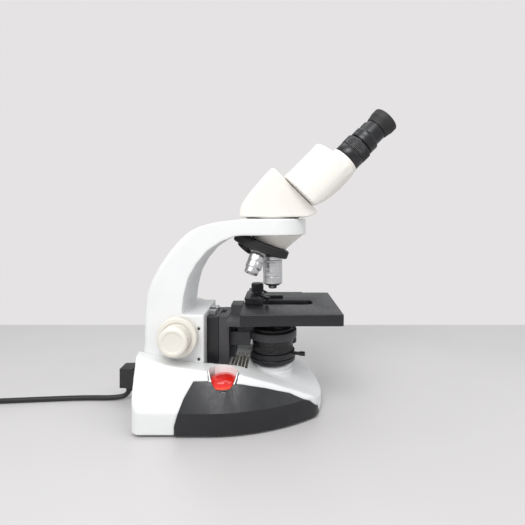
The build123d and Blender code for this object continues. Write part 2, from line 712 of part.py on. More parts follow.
def make_diopter_ring():
    band = turned([(15.1, 73.8), (18.5, 73.8), (18.5, 85.6), (18.9, 86.0), (18.9, 98.6),
                   (18.0, 99.2), (15.1, 99.2)])
    return tube_frame(-TUBE_SIDE, TUBE_DROP) * band


def make_tube_sleeve():
    band = turned([(15.1, 73.4), (18.5, 73.4), (18.5, 98.6), (18.0, 99.2), (15.1, 99.2)])
    return tube_frame(TUBE_SIDE, TUBE_DROP) * band


def eyepiece_profile():
    barrel = turned([(11.0, 66), (11.6, 66), (11.6, 77), (15.0, 77), (15.0, 101.6),
                     (17.3, 101.9), (17.3, 113.6), (14.9, 115), (14.9, 129.5), (11.0, 129.5)])
    return barrel


def eyecup_profile():
    return turned([(11.2, 129.6), (15.9, 129.6), (17.0, 136), (17.75, 138.5), (17.75, 147.0),
                   (16.9, 147.6), (15.0, 147.0), (14.0, 138), (11.2, 133)])


def eye_lens_profile():
    return turned([(0, 124.5), (10.95, 125), (10.95, 128.0), (7, 129.2), (0, 129.6)])


# ---- mains lead ---------------------------------------------------------------------
def make_inlet_plug():
    body = box(-190, -171.4, -13, 13, 20, 44)
    body += plan_slab([(-207, -11), (-189, -12.5), (-189, 12.5), (-207, 11)], 20, 46)
    nose = box(-172, -154.6, -11.4, 11.4, 24.6, 39.4)
    body = softened(body, body.edges().filter_by(Axis.Z), 3.0)
    relief = turned([(CORD_D / 2 + 0.1, 12.6), (4.6, 12.6), (6.2, 20.5), (CORD_D / 2 + 0.1, 20.5)])
    nose -= box(-165, -150, -9.6, 9.6, 30.0, 34.0)
    return body + nose + Pos(-197, 0, 0) * relief - cyl(CORD_D / 2 + 0.1, 5, 20.4, -197, 0)


COIL_X = -430.0
COIL_Y = -56.0
PLUG_Y = COIL_Y + 28


def cord_points():
    h = CORD_D / 2 + 0.1
    return [(-197, 0, 20), (-197.4, -0.5, h + 3), (-217, -3.5, h), (-256, -2.5, h),
            (-306, -6.5, h), (-354, -11, h), (COIL_X + 26, -15.5, h)]


def make_cord():
    points = [Vector(*p) for p in cord_points()]
    radii = []
    for k in range(1, len(points) - 1):
        a = points[k] - points[k - 1]
        b = points[k + 1] - points[k]
        turn = a.get_angle(b)
        radii.append(0.45 * min(a.length, b.length) / tan(radians(turn) / 2))
    print("cord bend radii", [round(r, 1) for r in radii])
    line = FilletPolyline(*points, radius=radii)
    tube = sweep(line.location_at(0) * Circle(CORD_D / 2), path=line)
    print("cord length", round(line.length, 1), "volume ratio",
          round(tube.volume / (line.length * pi * (CORD_D / 2) ** 2), 4))
    return tube


def make_coil():
    outline = [(COIL_R - 7, 0.0), (COIL_R + 5, 0.0), (COIL_R + 7.5, 4), (COIL_R + 7.5, 15),
               (COIL_R + 4, 20), (COIL_R - 6, 20), (COIL_R - 9, 15), (COIL_R - 9, 4)]
    return Pos(COIL_X, COIL_Y, 0.1) * turned(outline)


def make_mains_plug():
    body = box(COIL_X - 31, COIL_X - 1, PLUG_Y - 13, PLUG_Y + 13, 20.4, 43.6)
    body = softened(body, body.edges().filter_by(Axis.X), 6.0)
    for y in (-9.5, 9.5):
        body += xcyl(2.4, COIL_X - 50, COIL_X - 30, PLUG_Y + y, 32)
    return body + xcyl(5.5, COIL_X - 2, COIL_X + 14, PLUG_Y, 32)


def main():
    save("base_housing", make_base() + make_bosses())
    save("left_panel", make_left_panel())
    save("right_panel", mirrored(make_panel()))
    save("base_plate", make_base_plate())
    save("feet", *make_feet())
    save("screws", *make_screws())
    save("power_board", *make_power_board())
    save("dimmer_knob", make_dimmer_knob())
    save("mains_inlet", make_inlet())
    save("lamp_socket", make_lamp_socket())
    save("lamp_bulb", make_lamp_bulb())
    save("fold_mirror", make_mirror())
    save("field_collar", make_field_collar())
    save("field_lens", make_field_lens())
    save("arm", make_arm())
    save("focus_guide", make_focus_guide())
    save("head_clamp", make_head_clamp())
    save("nosepiece_mount", make_nosepiece_mount())
    save("focus_carriage", make_carriage())
    save("focus_rack", make_focus_rack())
    save("coarse_shaft", make_coarse_shaft())
    save("coarse_knob_left", make_coarse_knob())
    save("coarse_knob_right", mirrored(make_coarse_knob()))
    save("fine_shaft", ycyl(FINE_SHAFT_R, -62, 62, FOCUS_X, FOCUS_Z))
    save("fine_knob_left", make_fine_knob())
    save("fine_knob_right", mirrored(make_fine_knob()))
    save("stage_bracket", make_bracket())
    save("stage_plate", make_stage_plate())
    save("cross_carriage", make_cross_carriage())
    save("slide_holder", make_slide_holder())
    save("slide_clip", make_slide_clip())
    save("fb_knob", make_fb_knob())
    save("lr_knob", make_lr_knob())
    save("condenser_carrier", make_condenser_carrier())
    save("condenser_knob", make_condenser_knob())
    save("condenser_body", make_condenser_body())
    save("condenser_lens", *make_condenser_lens())
    save("iris_ring", make_iris_ring())
    save("turret", make_turret())
    save("grip_ring", make_grip_ring())
    lenses = []
    for name, (turn, r, length, nose_r, tip_r, bore) in OBJECTIVES.items():
        save(name, port_frame(turn) * objective(r, length, nose_r, tip_r, bore))
        lenses.append(port_frame(turn) * objective_lens(bore, length))
    save("objective_lenses", *lenses)
    save("dust_plug", make_dust_plug())
    save("head_body", make_head_body())
    save("left_wing", make_left_wing())
    save("right_wing", make_right_wing())
    save("diopter_ring", make_diopter_ring())
    save("tube_sleeve", make_tube_sleeve())
    for name, side in (("left", -TUBE_SIDE), ("right", TUBE_SIDE)):
        place = tube_frame(side, TUBE_DROP)
        save(name + "_eyepiece", place * eyepiece_profile())
        save(name + "_eyecup", place * eyecup_profile())
        save(name + "_eye_lens", place * eye_lens_profile())
    save("inlet_plug", make_inlet_plug())
    save("power_cord", make_cord())
    save("cord_coil", make_coil())
    save("mains_plug", make_mains_plug())


main()
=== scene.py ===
import bpy, bmesh, json
from math import sin, cos, pi, radians, sqrt
from mathutils import Vector, Matrix

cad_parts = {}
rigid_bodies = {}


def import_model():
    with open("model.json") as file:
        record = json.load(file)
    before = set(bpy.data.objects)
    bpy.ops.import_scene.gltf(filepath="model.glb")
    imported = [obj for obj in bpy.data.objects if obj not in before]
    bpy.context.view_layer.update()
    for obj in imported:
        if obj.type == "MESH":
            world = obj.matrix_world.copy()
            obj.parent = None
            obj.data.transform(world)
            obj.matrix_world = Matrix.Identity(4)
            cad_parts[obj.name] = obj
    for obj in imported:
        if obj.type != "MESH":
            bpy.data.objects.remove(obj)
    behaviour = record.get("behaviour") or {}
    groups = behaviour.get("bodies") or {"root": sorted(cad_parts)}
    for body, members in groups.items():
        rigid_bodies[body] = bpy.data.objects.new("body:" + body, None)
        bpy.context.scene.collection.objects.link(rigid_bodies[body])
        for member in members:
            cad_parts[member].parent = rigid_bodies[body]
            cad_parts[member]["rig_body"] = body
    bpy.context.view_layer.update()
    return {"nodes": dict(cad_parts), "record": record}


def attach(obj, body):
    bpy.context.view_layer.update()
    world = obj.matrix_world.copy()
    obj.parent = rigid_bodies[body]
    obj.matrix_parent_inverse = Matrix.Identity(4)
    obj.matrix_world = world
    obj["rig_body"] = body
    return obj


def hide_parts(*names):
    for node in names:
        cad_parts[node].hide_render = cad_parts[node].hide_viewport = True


bpy.ops.wm.read_factory_settings(use_empty=True)
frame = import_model()
NODES = frame["nodes"]
MM = 0.001
OX = 0.004                      # optical axis in the row frame
DIMMER = (-58.8, -66.0)         # axis of the lamp dimmer
HANGING = (24, 60)              # axis of the two stage knobs
CLIP_PIVOT = (-22, 20)


# ---- materials ----------------------------------------------------------------------
def new_material(name):
    mat = bpy.data.materials.new(name)
    mat.use_nodes = True
    tree = mat.node_tree
    return mat, tree, tree.nodes["Principled BSDF"]


def noise(tree, scale, detail=4.0, rough=0.55):
    where = tree.nodes.new("ShaderNodeTexCoord")
    n = tree.nodes.new("ShaderNodeTexNoise")
    n.inputs["Scale"].default_value = scale
    n.inputs["Detail"].default_value = detail
    n.inputs["Roughness"].default_value = rough
    tree.links.new(where.outputs["Object"], n.inputs["Vector"])
    return n.outputs["Fac"]


def ramp(tree, fac, stops):
    r = tree.nodes.new("ShaderNodeValToRGB")
    e = r.color_ramp.elements
    while len(e) < len(stops):
        e.new(0.5)
    for el, (pos, col) in zip(e, stops):
        el.position = pos
        el.color = col if len(col) == 4 else (*col, 1.0)
    tree.links.new(fac, r.inputs["Fac"])
    return r.outputs["Color"]


def bump(tree, bsdf, height, strength, distance):
    b = tree.nodes.new("ShaderNodeBump")
    b.inputs["Strength"].default_value = strength
    b.inputs["Distance"].default_value = distance
    tree.links.new(height, b.inputs["Height"])
    tree.links.new(b.outputs["Normal"], bsdf.inputs["Normal"])


def surface(name, base, rough, metallic=0.0, vary=0.06, rough_vary=0.06, scale=90.0,
            grain=900.0, grain_depth=0.00004, grain_strength=0.25, coat=0.0, coat_rough=0.1,
            ior=1.5, anisotropic=0.0, emission=None, emission_strength=0.0):
    """A paint, plastic, rubber or metal: base colour and roughness wander a little, fine grain."""
    mat, tree, bsdf = new_material(name)
    broad = noise(tree, scale, 5.0)
    lo = tuple(max(0.0, c * (1 - vary)) for c in base)
    hi = tuple(min(1.0, c * (1 + vary)) for c in base)
    tree.links.new(ramp(tree, broad, [(0.3, lo), (0.7, hi)]), bsdf.inputs["Base Color"])
    worn = noise(tree, scale * 2.3, 3.0)
    r0, r1 = max(0.02, rough - rough_vary), min(1.0, rough + rough_vary)
    tree.links.new(ramp(tree, worn, [(0.3, (r0,) * 3), (0.7, (r1,) * 3)]), bsdf.inputs["Roughness"])
    bsdf.inputs["Metallic"].default_value = metallic
    bsdf.inputs["IOR"].default_value = ior
    bsdf.inputs["Coat Weight"].default_value = coat
    bsdf.inputs["Coat Roughness"].default_value = coat_rough
    bsdf.inputs["Anisotropic"].default_value = anisotropic
    if grain:
        bump(tree, bsdf, noise(tree, grain, 2.0), grain_strength, grain_depth)
    if emission:
        bsdf.inputs["Emission Color"].default_value = (*emission, 1.0)
        bsdf.inputs["Emission Strength"].default_value = emission_strength
    return mat


def glass(name, tint, rough=0.02, ior=1.52):
    mat, tree, bsdf = new_material(name)
    bsdf.inputs["Transmission Weight"].default_value = 1.0
    bsdf.inputs["IOR"].default_value = ior
    tree.links.new(ramp(tree, noise(tree, 60.0), [(0.35, tint), (0.75, tuple(c * 0.97 for c in tint))]),
                   bsdf.inputs["Base Color"])
    tree.links.new(ramp(tree, noise(tree, 200.0), [(0.4, (rough,) * 3), (0.8, (rough * 2.5,) * 3)]),
                   bsdf.inputs["Roughness"])
    return mat


def red_with_painted_glow(name):
    """Red translucent plastic with a painted glow: emission brighter and more orange round its foot,
    darker red at its top, painting inner light and side highlights.
    """
    mat, tree, bsdf = new_material(name)
    where = tree.nodes.new("ShaderNodeTexCoord")
    parts = tree.nodes.new("ShaderNodeSeparateXYZ")
    tree.links.new(where.outputs["Object"], parts.inputs["Vector"])
    # painted glow and highlights: the emission colour follows height, bright orange at the foot, dark red
    # at the top, with some noise
    height = tree.nodes.new("ShaderNodeMapRange")
    height.inputs["From Min"].default_value = 0.050
    height.inputs["From Max"].default_value = 0.060
    tree.links.new(parts.outputs["Z"], height.inputs["Value"])
    painted_glow_fac = tree.nodes.new("ShaderNodeMath")
    painted_glow_fac.operation = "MULTIPLY_ADD"
    tree.links.new(noise(tree, 120.0, 2.0), painted_glow_fac.inputs[0])
    painted_glow_fac.inputs[1].default_value = 0.5
    tree.links.new(height.outputs["Result"], painted_glow_fac.inputs[2])
    painted_glow_colour = ramp(tree, painted_glow_fac.outputs["Value"], [(0.25, (1.0, 0.16, 0.05)), (0.6, (0.75, 0.02, 0.01)),
                                                (1.0, (0.32, 0.005, 0.004))])
    tree.links.new(painted_glow_colour, bsdf.inputs["Emission Color"])
    bsdf.inputs["Emission Strength"].default_value = 0.5
    reds = [(0.3, (0.50, 0.012, 0.008)), (0.7, (0.58, 0.016, 0.01))]
    tree.links.new(ramp(tree, noise(tree, 60.0), reds), bsdf.inputs["Base Color"])
    tree.links.new(ramp(tree, noise(tree, 200.0), [(0.3, (0.10,) * 3), (0.8, (0.18,) * 3)]),
                   bsdf.inputs["Roughness"])
    bsdf.inputs["Coat Weight"].default_value = 0.6
    bsdf.inputs["Coat Roughness"].default_value = 0.06
    return mat


M = {
    "white_paint": surface("white_paint", (0.82, 0.83, 0.825), 0.36, vary=0.015, scale=35, grain=650,
                           grain_depth=0.00005, grain_strength=0.22, coat=0.25, coat_rough=0.28),
    "cream_paint": surface("cream_paint", (0.86, 0.83, 0.775), 0.36, vary=0.015, scale=35, grain=650,
                           grain_depth=0.00005, grain_strength=0.22, coat=0.25, coat_rough=0.28),
    "grey_paint": surface("grey_paint", (0.055, 0.055, 0.06), 0.45, vary=0.10, grain=800),
    "black_paint": surface("black_paint", (0.011, 0.011, 0.013), 0.40, vary=0.15, grain=700,
                           grain_depth=0.00006, grain_strength=0.3, coat=0.15, coat_rough=0.35),
    "black_anodised": surface("black_anodised", (0.012, 0.012, 0.014), 0.36, vary=0.15, grain=1500,
                              grain_depth=0.00002),
    "black_plastic": surface("black_plastic", (0.011, 0.0115, 0.014), 0.38, vary=0.12, grain=520,
                             grain_depth=0.00007, grain_strength=0.35),
    "cream_plastic": surface("cream_plastic", (0.79, 0.765, 0.69), 0.38, vary=0.02, scale=60, grain=900,
                             grain_strength=0.12),
    "rubber": surface("rubber", (0.016, 0.016, 0.017), 0.62, vary=0.15, grain=1100, grain_depth=0.00006,
                      grain_strength=0.4),
    "cord_black": surface("cord_black", (0.017, 0.017, 0.018), 0.46, vary=0.15, grain=900),
    "steel": surface("steel", (0.55, 0.55, 0.56), 0.28, metallic=1.0, vary=0.06, grain=1600,
                     grain_depth=0.00002),
    "dark_steel": surface("dark_steel", (0.10, 0.10, 0.105), 0.35, metallic=1.0, vary=0.1, grain=1200),
    "brass": surface("brass", (0.72, 0.53, 0.24), 0.3, metallic=1.0, vary=0.06, grain=1200),
    "objective_chrome": surface("objective_chrome", (0.70, 0.70, 0.71), 0.30, metallic=1.0, vary=0.03,
                                rough_vary=0.04, grain=2200, grain_depth=0.00001, grain_strength=0.1),
    "ceramic": surface("ceramic", (0.78, 0.76, 0.70), 0.3, vary=0.03),
    "circuit_board": surface("circuit_board", (0.03, 0.17, 0.07), 0.4, vary=0.25, scale=260),
    "mirror": surface("mirror", (0.9, 0.9, 0.92), 0.03, metallic=1.0, vary=0.01, rough_vary=0.01,
                      grain=0),
    "lens_glass": glass("lens_glass", (0.93, 0.96, 1.0)),
    "lamp_glass": glass("lamp_glass", (1.0, 0.96, 0.88)),
    # the dimmer's red_knob paints its glow and highlights into its emission
    "red_knob": red_with_painted_glow("red_knob"),
}
SLOT_OF = {s["node"]: s["material_slot"] for s in frame["record"]["subparts"]}

for n, o in NODES.items():
    o.data.materials.clear()
    o.data.materials.append(M[SLOT_OF[n]])


# ---- mesh helpers -------------------------------------------------------------------
def add(name, mesh, mat, body, *nodes, smooth=True):
    ob = bpy.data.objects.new(name, mesh)
    bpy.context.scene.collection.objects.link(ob)
    mesh.materials.clear()
    mesh.materials.append(M[mat])
    if smooth:
        for p in mesh.polygons:
            p.use_smooth = True
    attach(ob, body)
    if nodes:
        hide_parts(*nodes)
    return ob


def apply_all(ob):
    bpy.context.view_layer.update()
    dg = bpy.context.evaluated_depsgraph_get()
    made = bpy.data.meshes.new_from_object(ob.evaluated_get(dg))
    old = ob.data
    ob.modifiers.clear()
    ob.data = made
    bpy.data.meshes.remove(old)


def body_of(node):
    return NODES[node]["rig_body"]


def cad_mesh(node):
    mesh = NODES[node].data.copy()
    bm = bmesh.new()
    bm.from_mesh(mesh)
    bmesh.ops.remove_doubles(bm, verts=bm.verts, dist=2e-6)
    bm.to_mesh(mesh)
    bm.free()
    return mesh


def round_ridge(mesh, height=28.0, width=7.0):
    """Rounds the long soft ridge that runs round the base at one height."""
    bm = bmesh.new()
    bm.from_mesh(mesh)
    bmesh.ops.dissolve_limit(bm, angle_limit=radians(1.0), verts=bm.verts, edges=bm.edges)
    ridge = [e for e in bm.edges if len(e.link_faces) == 2 and e.calc_face_angle(0) > radians(12)
             and all(abs(v.co.z / MM - height) < 1.6 for v in e.verts)
             and all(f.calc_area() > 1e-5 for f in e.link_faces)]
    bmesh.ops.bevel(bm, geom=ridge, offset=width * MM, segments=6, profile=0.5, affect="EDGES",
                    clamp_overlap=True)
    bm.to_mesh(mesh)
    bm.free()


def crisp(node, width=0.6, segments=3, angle=28.0, mat=None, below=None, above=None, ridge=False):
    """The CAD shape with its sharp edges eased, for machined and moulded pieces."""
    mesh = cad_mesh(node)
    if ridge:
        round_ridge(mesh)
    bm = bmesh.new()
    bm.from_mesh(mesh)
    for level, up in ((below, 1), (above, -1)):
        if level is not None:
            cut = bmesh.ops.bisect_plane(bm, geom=bm.verts[:] + bm.edges[:] + bm.faces[:],
                                         dist=1e-6, plane_co=(0, 0, level * MM),
                                         plane_no=(0, 0, up), clear_outer=True)
            rim = [e for e in cut["geom_cut"] if isinstance(e, bmesh.types.BMEdge)]
            bmesh.ops.holes_fill(bm, edges=rim)
    bmesh.ops.dissolve_limit(bm, angle_limit=radians(1.5), verts=bm.verts, edges=bm.edges)
    bm.to_mesh(mesh)
    bm.free()
    ob = add("vis_" + node, mesh, mat or SLOT_OF[node], body_of(node), node)
    bev = ob.modifiers.new("bevel", "BEVEL")
    bev.width = width * MM
    bev.segments = segments
    bev.limit_method = "ANGLE"
    bev.angle_limit = radians(angle)
    bev.harden_normals = True
    bev.use_clamp_overlap = True
    apply_all(ob)
    return ob


def cast(node, voxel=1.2, smooth=6, mat=None, drum=None, ridge=False):
    """The CAD shape as a casting: every edge softened evenly. drum smooths the skin between two
    heights along the tube axis much further, so that it reads as one curved surface."""
    mesh = cad_mesh(node)
    if ridge:
        round_ridge(mesh)
    ob = add("vis_" + node, mesh, mat or SLOT_OF[node], body_of(node), node)
    rem = ob.modifiers.new("remesh", "REMESH")
    rem.mode = "VOXEL"
    rem.voxel_size = voxel * MM
    rem.use_smooth_shade = True
    sm = ob.modifiers.new("smooth", "SMOOTH")
    sm.factor = 0.5
    sm.iterations = smooth
    apply_all(ob)
    if drum:
        low, high, rounds = drum
        group = ob.vertex_groups.new(name="drum")
        back = tube(0.0).inverted()
        for v in ob.data.vertices:
            along = (back @ v.co).z / MM
            weight = min(1.0, max(0.0, min(along - low, high - along) / 4.0))
            if weight > 0:
                group.add([v.index], weight, "REPLACE")
        sm = ob.modifiers.new("drum", "SMOOTH")
        sm.vertex_group = "drum"
        sm.factor = 0.5
        sm.iterations = rounds
        apply_all(ob)
    for p in ob.data.polygons:
        p.use_smooth = True
    return ob


def lathe(name, outline, mat, body, nodes=(), steps=96, place=None, ribs=(), closed=True,
          rib_shape=2.0):
    """Turned piece about Z. outline: (radius, height) in mm. ribs: (z0, z1, count, depth) knurling."""
    bm = bmesh.new()
    rings = []
    if ribs:
        count = max(r[2] for r in ribs)
        steps = count * max(4, round(steps / count))
    for r, z in outline:
        ring = []
        for k in range(steps):
            a = 2 * pi * k / steps
            rr = r
            for z0, z1, n, depth in ribs:
                if z0 <= z <= z1:
                    rr = r - depth * (0.5 - 0.5 * cos(n * a)) ** rib_shape
            ring.append(bm.verts.new((rr * cos(a) * MM, rr * sin(a) * MM, z * MM)))
        rings.append(ring)
    for lo, hi in zip(rings, rings[1:]):
        for k in range(steps):
            j = (k + 1) % steps
            bm.faces.new((lo[k], lo[j], hi[j], hi[k]))
    if closed:
        for ring, flip in ((rings[0], True), (rings[-1], False)):
            if len({(round(v.co.x, 7), round(v.co.y, 7)) for v in ring}) > 2:
                bm.faces.new(list(reversed(ring)) if flip else ring)
    bmesh.ops.remove_doubles(bm, verts=bm.verts, dist=1e-7)
    bmesh.ops.recalc_face_normals(bm, faces=bm.faces)
    mesh = bpy.data.meshes.new(name)
    if place is not None:
        bm.transform(place)
    bm.to_mesh(mesh)
    bm.free()
    ob = add(name, mesh, mat, body, *nodes)
    mark_sharp(ob)
    return ob


def mark_sharp(ob, angle=40.0):
    bm = bmesh.new()
    bm.from_mesh(ob.data)
    for e in bm.edges:
        if len(e.link_faces) == 2 and e.calc_face_angle(0) > radians(angle):
            e.smooth = False
    bm.to_mesh(ob.data)
    bm.free()


def rounded(points, r=0.4, n=3):
    """An open (radius, height) outline with its corners eased by small arcs."""
    out = [points[0]]
    for a, b, c in zip(points, points[1:], points[2:]):
        va, vb, vc = Vector(a), Vector(b), Vector(c)
        d1, d2 = (va - vb), (vc - vb)
        if d1.length < 1e-6 or d2.length < 1e-6:
            out.append(b)
            continue
        t = min(r, d1.length * 0.45, d2.length * 0.45)
        p, q = vb + d1.normalized() * t, vb + d2.normalized() * t
        for k in range(n + 1):
            s = k / n
            w = (1 - s) ** 2 * p + 2 * s * (1 - s) * vb + s * s * q
            out.append((w.x, w.y))
    out.append(points[-1])
    return out


def matrix(origin, z, x=(0, 1, 0)):
    """Placement with local Z along z, origin in mm from the optical axis."""
    z = Vector(z).normalized()
    x = Vector(x)
    x = (x - x.dot(z) * z).normalized()
    y = z.cross(x)
    m = Matrix((x, y, z)).transposed().to_4x4()
    m.translation = Vector((origin[0] * MM + OX, origin[1] * MM, origin[2] * MM))
    return m


def upright(x=0.0, y=0.0):
    return matrix((x, y, 0), (0, 0, 1), (1, 0, 0))


# ---- frames of the optics -----------------------------------------------------------
APEX = 253.5
TILT = radians(20.5)
TURRET = matrix((0, 0, APEX), (-sin(TILT), 0, -cos(TILT)), (cos(TILT), 0, -sin(TILT)))


def port(turn):
    a = radians(turn)
    z = Vector((sin(TILT) * cos(a), sin(TILT) * sin(a), cos(TILT)))
    x = Vector((cos(a) * cos(TILT), sin(a) * cos(TILT), -sin(TILT)))
    y = z.cross(x)
    local = Matrix((x, y, z)).transposed().to_4x4()
    return TURRET @ local @ Matrix.Translation((0, 0, 55.8 * MM))


def tube(side, drop=35.0):
    return matrix((18.1 + drop / sqrt(2), side, 298.4 - drop / sqrt(2)), (1, 0, 1),
                  (1, 0, -1))


# ---- castings -----------------------------------------------------------------------
FINE = 1.15
cast("base_housing", FINE, 5, ridge=True)
cast("arm", FINE, 6)
cast("head_body", FINE, 8)
cast("left_wing", FINE * 0.9, 6, drum=(5.0, 57.0, 90))
cast("right_wing", FINE * 0.9, 6, drum=(5.0, 57.0, 90))
cast("nosepiece_mount", FINE * 0.9, 3)

# ---- small pieces of the head -------------------------------------------------------
# thin black ring at the seam under the head: painted shadow of the gap between head and arm
lathe("head_gap_painted_shade_ring", rounded([(34.0, 249.35), (35.75, 249.35), (35.75, 251.1), (34.0, 251.1)], 0.2),
      "black_paint", "head", (), 128, upright(), closed=False)
lathe("hinge_cap", rounded([(4.5, 63.5), (6.25, 63.5), (6.25, 69.6), (5.6, 70.6), (0.01, 70.7)], 0.4),
      "black_plastic", "head", (), 48, tube(0.0, 0.0), closed=False)

# ---- moulded and machined pieces ----------------------------------------------------
for node in ("left_panel", "right_panel"):
    crisp(node, 0.45, ridge=True)


def pale_cup(ob):
    """The back of the dimmer's recess above the panel's edge is finished in the base's white."""
    ob.data.materials.append(M["white_paint"])
    for p in ob.data.polygons:
        x, y, z = ((p.center - Vector((OX, 0, 0))) / MM)
        if sqrt((x - DIMMER[0]) ** 2 + (y - DIMMER[1]) ** 2) < 19.2 and z > 56.0:
            p.material_index = 1


pale_cup(bpy.data.objects["vis_left_panel"])
for node, width in (("focus_carriage", 1.4),
                    ("stage_bracket", 0.8), ("stage_plate", 1.3), ("cross_carriage", 0.7),
                    ("slide_holder", 0.8), ("condenser_carrier", 0.8), ("mains_inlet", 0.4),
                    ("inlet_plug", 1.6), ("mains_plug", 1.2), ("screws", 0.25), ("focus_guide", 0.4)):
    crisp(node, width)

# ---- knobs --------------------------------------------------------------------------
FOCUS = (-117.0, 103.0)


def focus_knob(name, node, body, side, face, outline, ribs, mat="cream_plastic"):
    place = matrix((FOCUS[0], side * face, FOCUS[1]), (0, side, 0), (1, 0, 0))
    return lathe(name, rounded(outline, 0.9), mat, body, (node,), 240, place, ribs)


for side, word in ((-1, "left"), (1, "right")):
    focus_knob("coarse_" + word, "coarse_knob_" + word, "coarse_drive", side, 48.0,
               [(8, 0), (23.6, 0), (25, 1.4), (25, 2.4), (24.6, 2.6), (25, 2.8), (25, 12.2),
                (24.0, 13.6), (19.0, 13.6), (18.6, 13.0), (8, 13.0)],
               [(2.7, 12.25, 60, 0.55)])
    focus_knob("fine_" + word, "fine_knob_" + word, "fine_drive", side, 62.0,
               [(6, 0), (17.2, 0), (18, 1.0), (18, 14.6), (16.8, 17.0), (14.5, 18), (12.0, 17.7),
                (11.4, 17.1), (0.01, 16.9)],
               [(1.0, 14.7, 44, 0.45)])

# ---- nosepiece and objectives -------------------------------------------------------
crisp("turret", 0.5)
grip = [(36.1, 39.0), (37.6, 39.0), (38.8, 40.0), (39.0, 40.4)]
grip += [(39.0, 40.6 + 0.8 * k) for k in range(10)] + [(38.9, 48.6), (37.6, 49.6), (36.1, 49.6)]
lathe("grip", grip, "rubber", "nosepiece", ("grip_ring",), 360, TURRET, [(40.5, 48.4, 90, 0.7)])

OBJ = {
    "objective_40": (0, [
        (10.1, -4.4), (10.1, 0), (12.3, 0), (12.5, 0.3), (12.5, 4.4), (12.2, 4.6), (12.2, 4.9),
        (12.9, 5.1), (13.25, 5.5), (13.25, 7.6), (13.0, 7.8), (13.0, 8.2), (13.25, 8.4),
        (13.25, 18.0), (13.05, 18.2), (13.05, 18.9), (13.25, 19.1), (13.25, 26.4), (12.9, 26.6),
        (12.9, 27.4), (13.25, 27.6), (13.25, 36.6), (12.9, 37.1), (9.6, 39.4), (9.4, 39.6),
        (6.6, 39.7), (6.2, 40.3), (5.5, 43.6), (5.1, 44.2), (2.7, 44.2), (2.6, 43.6)]),
    "objective_4": (90, [
        (10.1, -4.4), (10.1, 0), (10.3, 0.1), (10.3, 2.4), (9.5, 2.6), (9.5, 4.9), (10.3, 5.3),
        (10.3, 14.2), (9.9, 14.4), (9.9, 15.2), (10.3, 15.4), (10.3, 22.6), (9.9, 23.0),
        (9.2, 24.2), (9.2, 29.6), (8.6, 30.5), (5.7, 30.5), (5.6, 29.8)]),
    "objective_10": (270, [
        (10.1, -4.4), (10.1, 0), (11.2, 0), (11.2, 4.6), (12.0, 5.2), (12.0, 16.4),
        (11.7, 16.6), (11.7, 17.4), (12.0, 17.6), (12.0, 29.2), (9.2, 32.2), (6.6, 32.6),
        (6.5, 36.8), (6.2, 37.0), (4.1, 37.0), (4.0, 36.2)]),
}
for name, (turn, outline) in OBJ.items():
    knurl = [(5.5, 7.7, 60, 0.35)] if name == "objective_40" else [(5.2, 6.8, 50, 0.3)]
    lathe("lens_barrel_" + name[10:], rounded(outline, 0.25, 2), "objective_chrome", "nosepiece",
          (name,), 240, port(turn), knurl, closed=False)
PLUG = [(0.01, -4.4), (10.1, -4.4), (10.1, 0), (11.1, 0), (11.2, 0.4), (11.2, 4.4), (10.2, 5.5),
        (6.0, 5.55), (5.6, 5.2), (0.01, 5.2)]
lathe("port_plug", rounded(PLUG, 0.3), "black_plastic", "nosepiece", ("dust_plug",), 96, port(180))

# ---- eyepieces ----------------------------------------------------------------------
for side, word in ((-32.0, "left"), (32.0, "right")):
    body = "left_ocular" if word == "left" else "right_tube"
    place = tube(side)
    barrel = [(11.4, 66), (11.4, 77), (14.9, 77.2), (14.9, 101.4), (16.9, 101.6), (17.3, 102.0),
              (17.3, 106.8), (17.05, 107.0), (17.05, 107.6), (17.3, 107.8), (17.3, 112.8),
              (16.6, 113.8), (15.2, 115.0), (14.9, 115.6), (14.9, 129.4), (11.1, 129.4)]
    lathe("ocular_" + word, rounded(barrel, 0.4), "black_plastic", body, (word + "_eyepiece",),
          96, place, closed=False)
    cup = [(11.3, 129.6), (15.6, 129.6), (15.9, 130.2), (16.3, 133.0), (17.0, 136.4),
           (17.6, 138.6), (17.75, 140), (17.75, 146.6), (17.3, 147.5), (16.4, 147.6),
           (15.4, 147.0), (14.6, 143.0), (14.0, 138), (12.6, 134.0), (11.3, 133.2)]
    lathe("eyecup_" + word, rounded(cup, 0.6), "rubber", body, (word + "_eyecup",), 96, place,
          closed=False)
    lathe("eye_lens_" + word, [(0.01, 128.6), (10.9, 127.4), (10.9, 124.8), (0.01, 124.6)],
          "lens_glass", body, (word + "_eye_lens",), 64, place)

RING = [(15.2, 73.9), (18.3, 73.9), (18.5, 74.2), (18.5, 85.2), (18.3, 85.5), (18.3, 85.9),
        (18.7, 86.1), (18.9, 86.5)]
RING += [(18.9, 87.0 + 0.8 * k) for k in range(14)] + [(18.8, 98.2), (18.2, 99.1), (15.2, 99.1)]
lathe("diopter", RING, "black_anodised", "diopter", ("diopter_ring",), 300, tube(-32.0),
      [(86.9, 97.9, 60, 0.6)], closed=False)
SLEEVE = [(15.2, 73.5), (18.3, 73.5), (18.5, 73.8), (18.5, 97.9), (18.1, 98.9), (15.2, 98.9)]
lathe("sleeve", rounded(SLEEVE, 0.3), "black_anodised", "right_tube", ("tube_sleeve",), 96,
      tube(32.0), closed=False)

